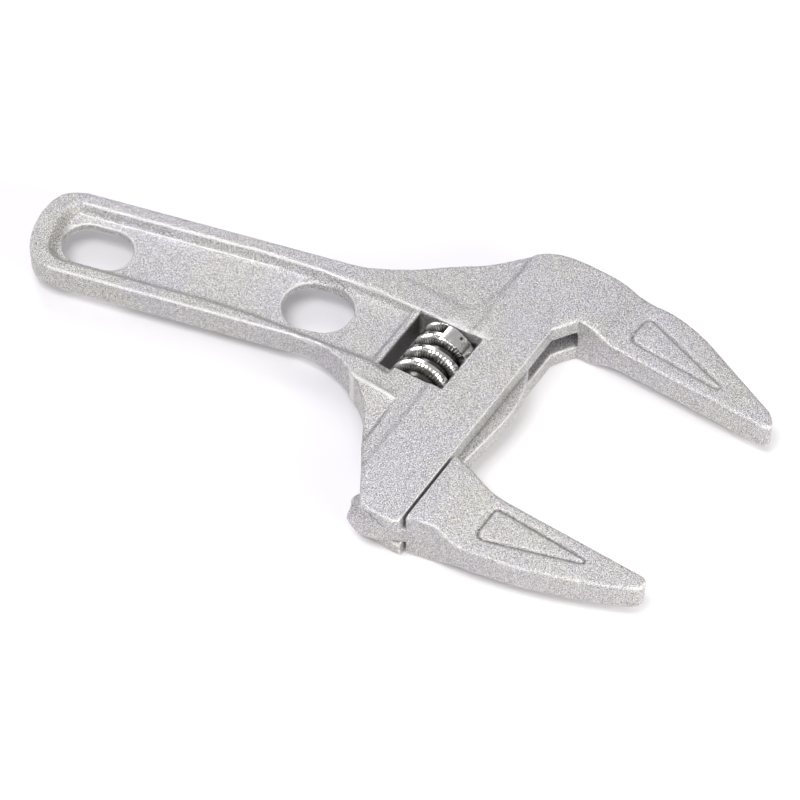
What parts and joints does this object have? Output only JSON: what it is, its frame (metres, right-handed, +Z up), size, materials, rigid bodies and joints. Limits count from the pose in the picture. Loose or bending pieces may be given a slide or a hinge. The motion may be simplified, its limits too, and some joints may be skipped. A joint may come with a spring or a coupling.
{
  "type": "adjustable wrench",
  "caption": "Short-handled adjustable wrench with long thin jaws that open wide, driven by a worm in an open window in the head.",
  "frame": {"origin": "middle of the footprint, on the surface that the wrench lies on", "axes": "+X from the handle's end to the jaw tips, +Y towards the fixed jaw, +Z up through the thickness"},
  "size_m": [0.2028, 0.095, 0.0166],
  "materials": {
    "blasted_casting": "die-cast aluminium with a fine blasted, slightly sparkling satin finish",
    "blasted_jaw": "die-cast aluminium with a fine blasted, slightly sparkling satin finish",
    "plated_worm": "turned steel, knurled on the thread crest and bright plated",
    "plated_pin": "turned steel, bright plated",
    "spring_wire": "drawn spring wire"
  },
  "bodies": {
    "body": {"body_casting": "blasted_casting", "worm_pin": "plated_pin", "worm_spring": "spring_wire"},
    "jaw": {"moving_jaw": "blasted_jaw"},
    "worm_screw": {"worm": "plated_worm"}
  },
  "joints": [
    {"name": "jaw_slide", "type": "slide", "parent": "body", "child": "jaw", "axis": [0.2588, 0.9659, 0], "range_m": [-0.01, 0.04]},
    {"name": "worm_spin", "type": "hinge", "parent": "body", "child": "worm_screw", "pos_m": [0.01247, 0.00762, 0.0083], "axis": [-0.2588, -0.9659, 0], "range_deg": [-721, 2881]}
  ],
  "couplings": [
    {"joint": "worm_spin", "follows": "jaw_slide", "rad_per_m": 1256.6}
  ]
}
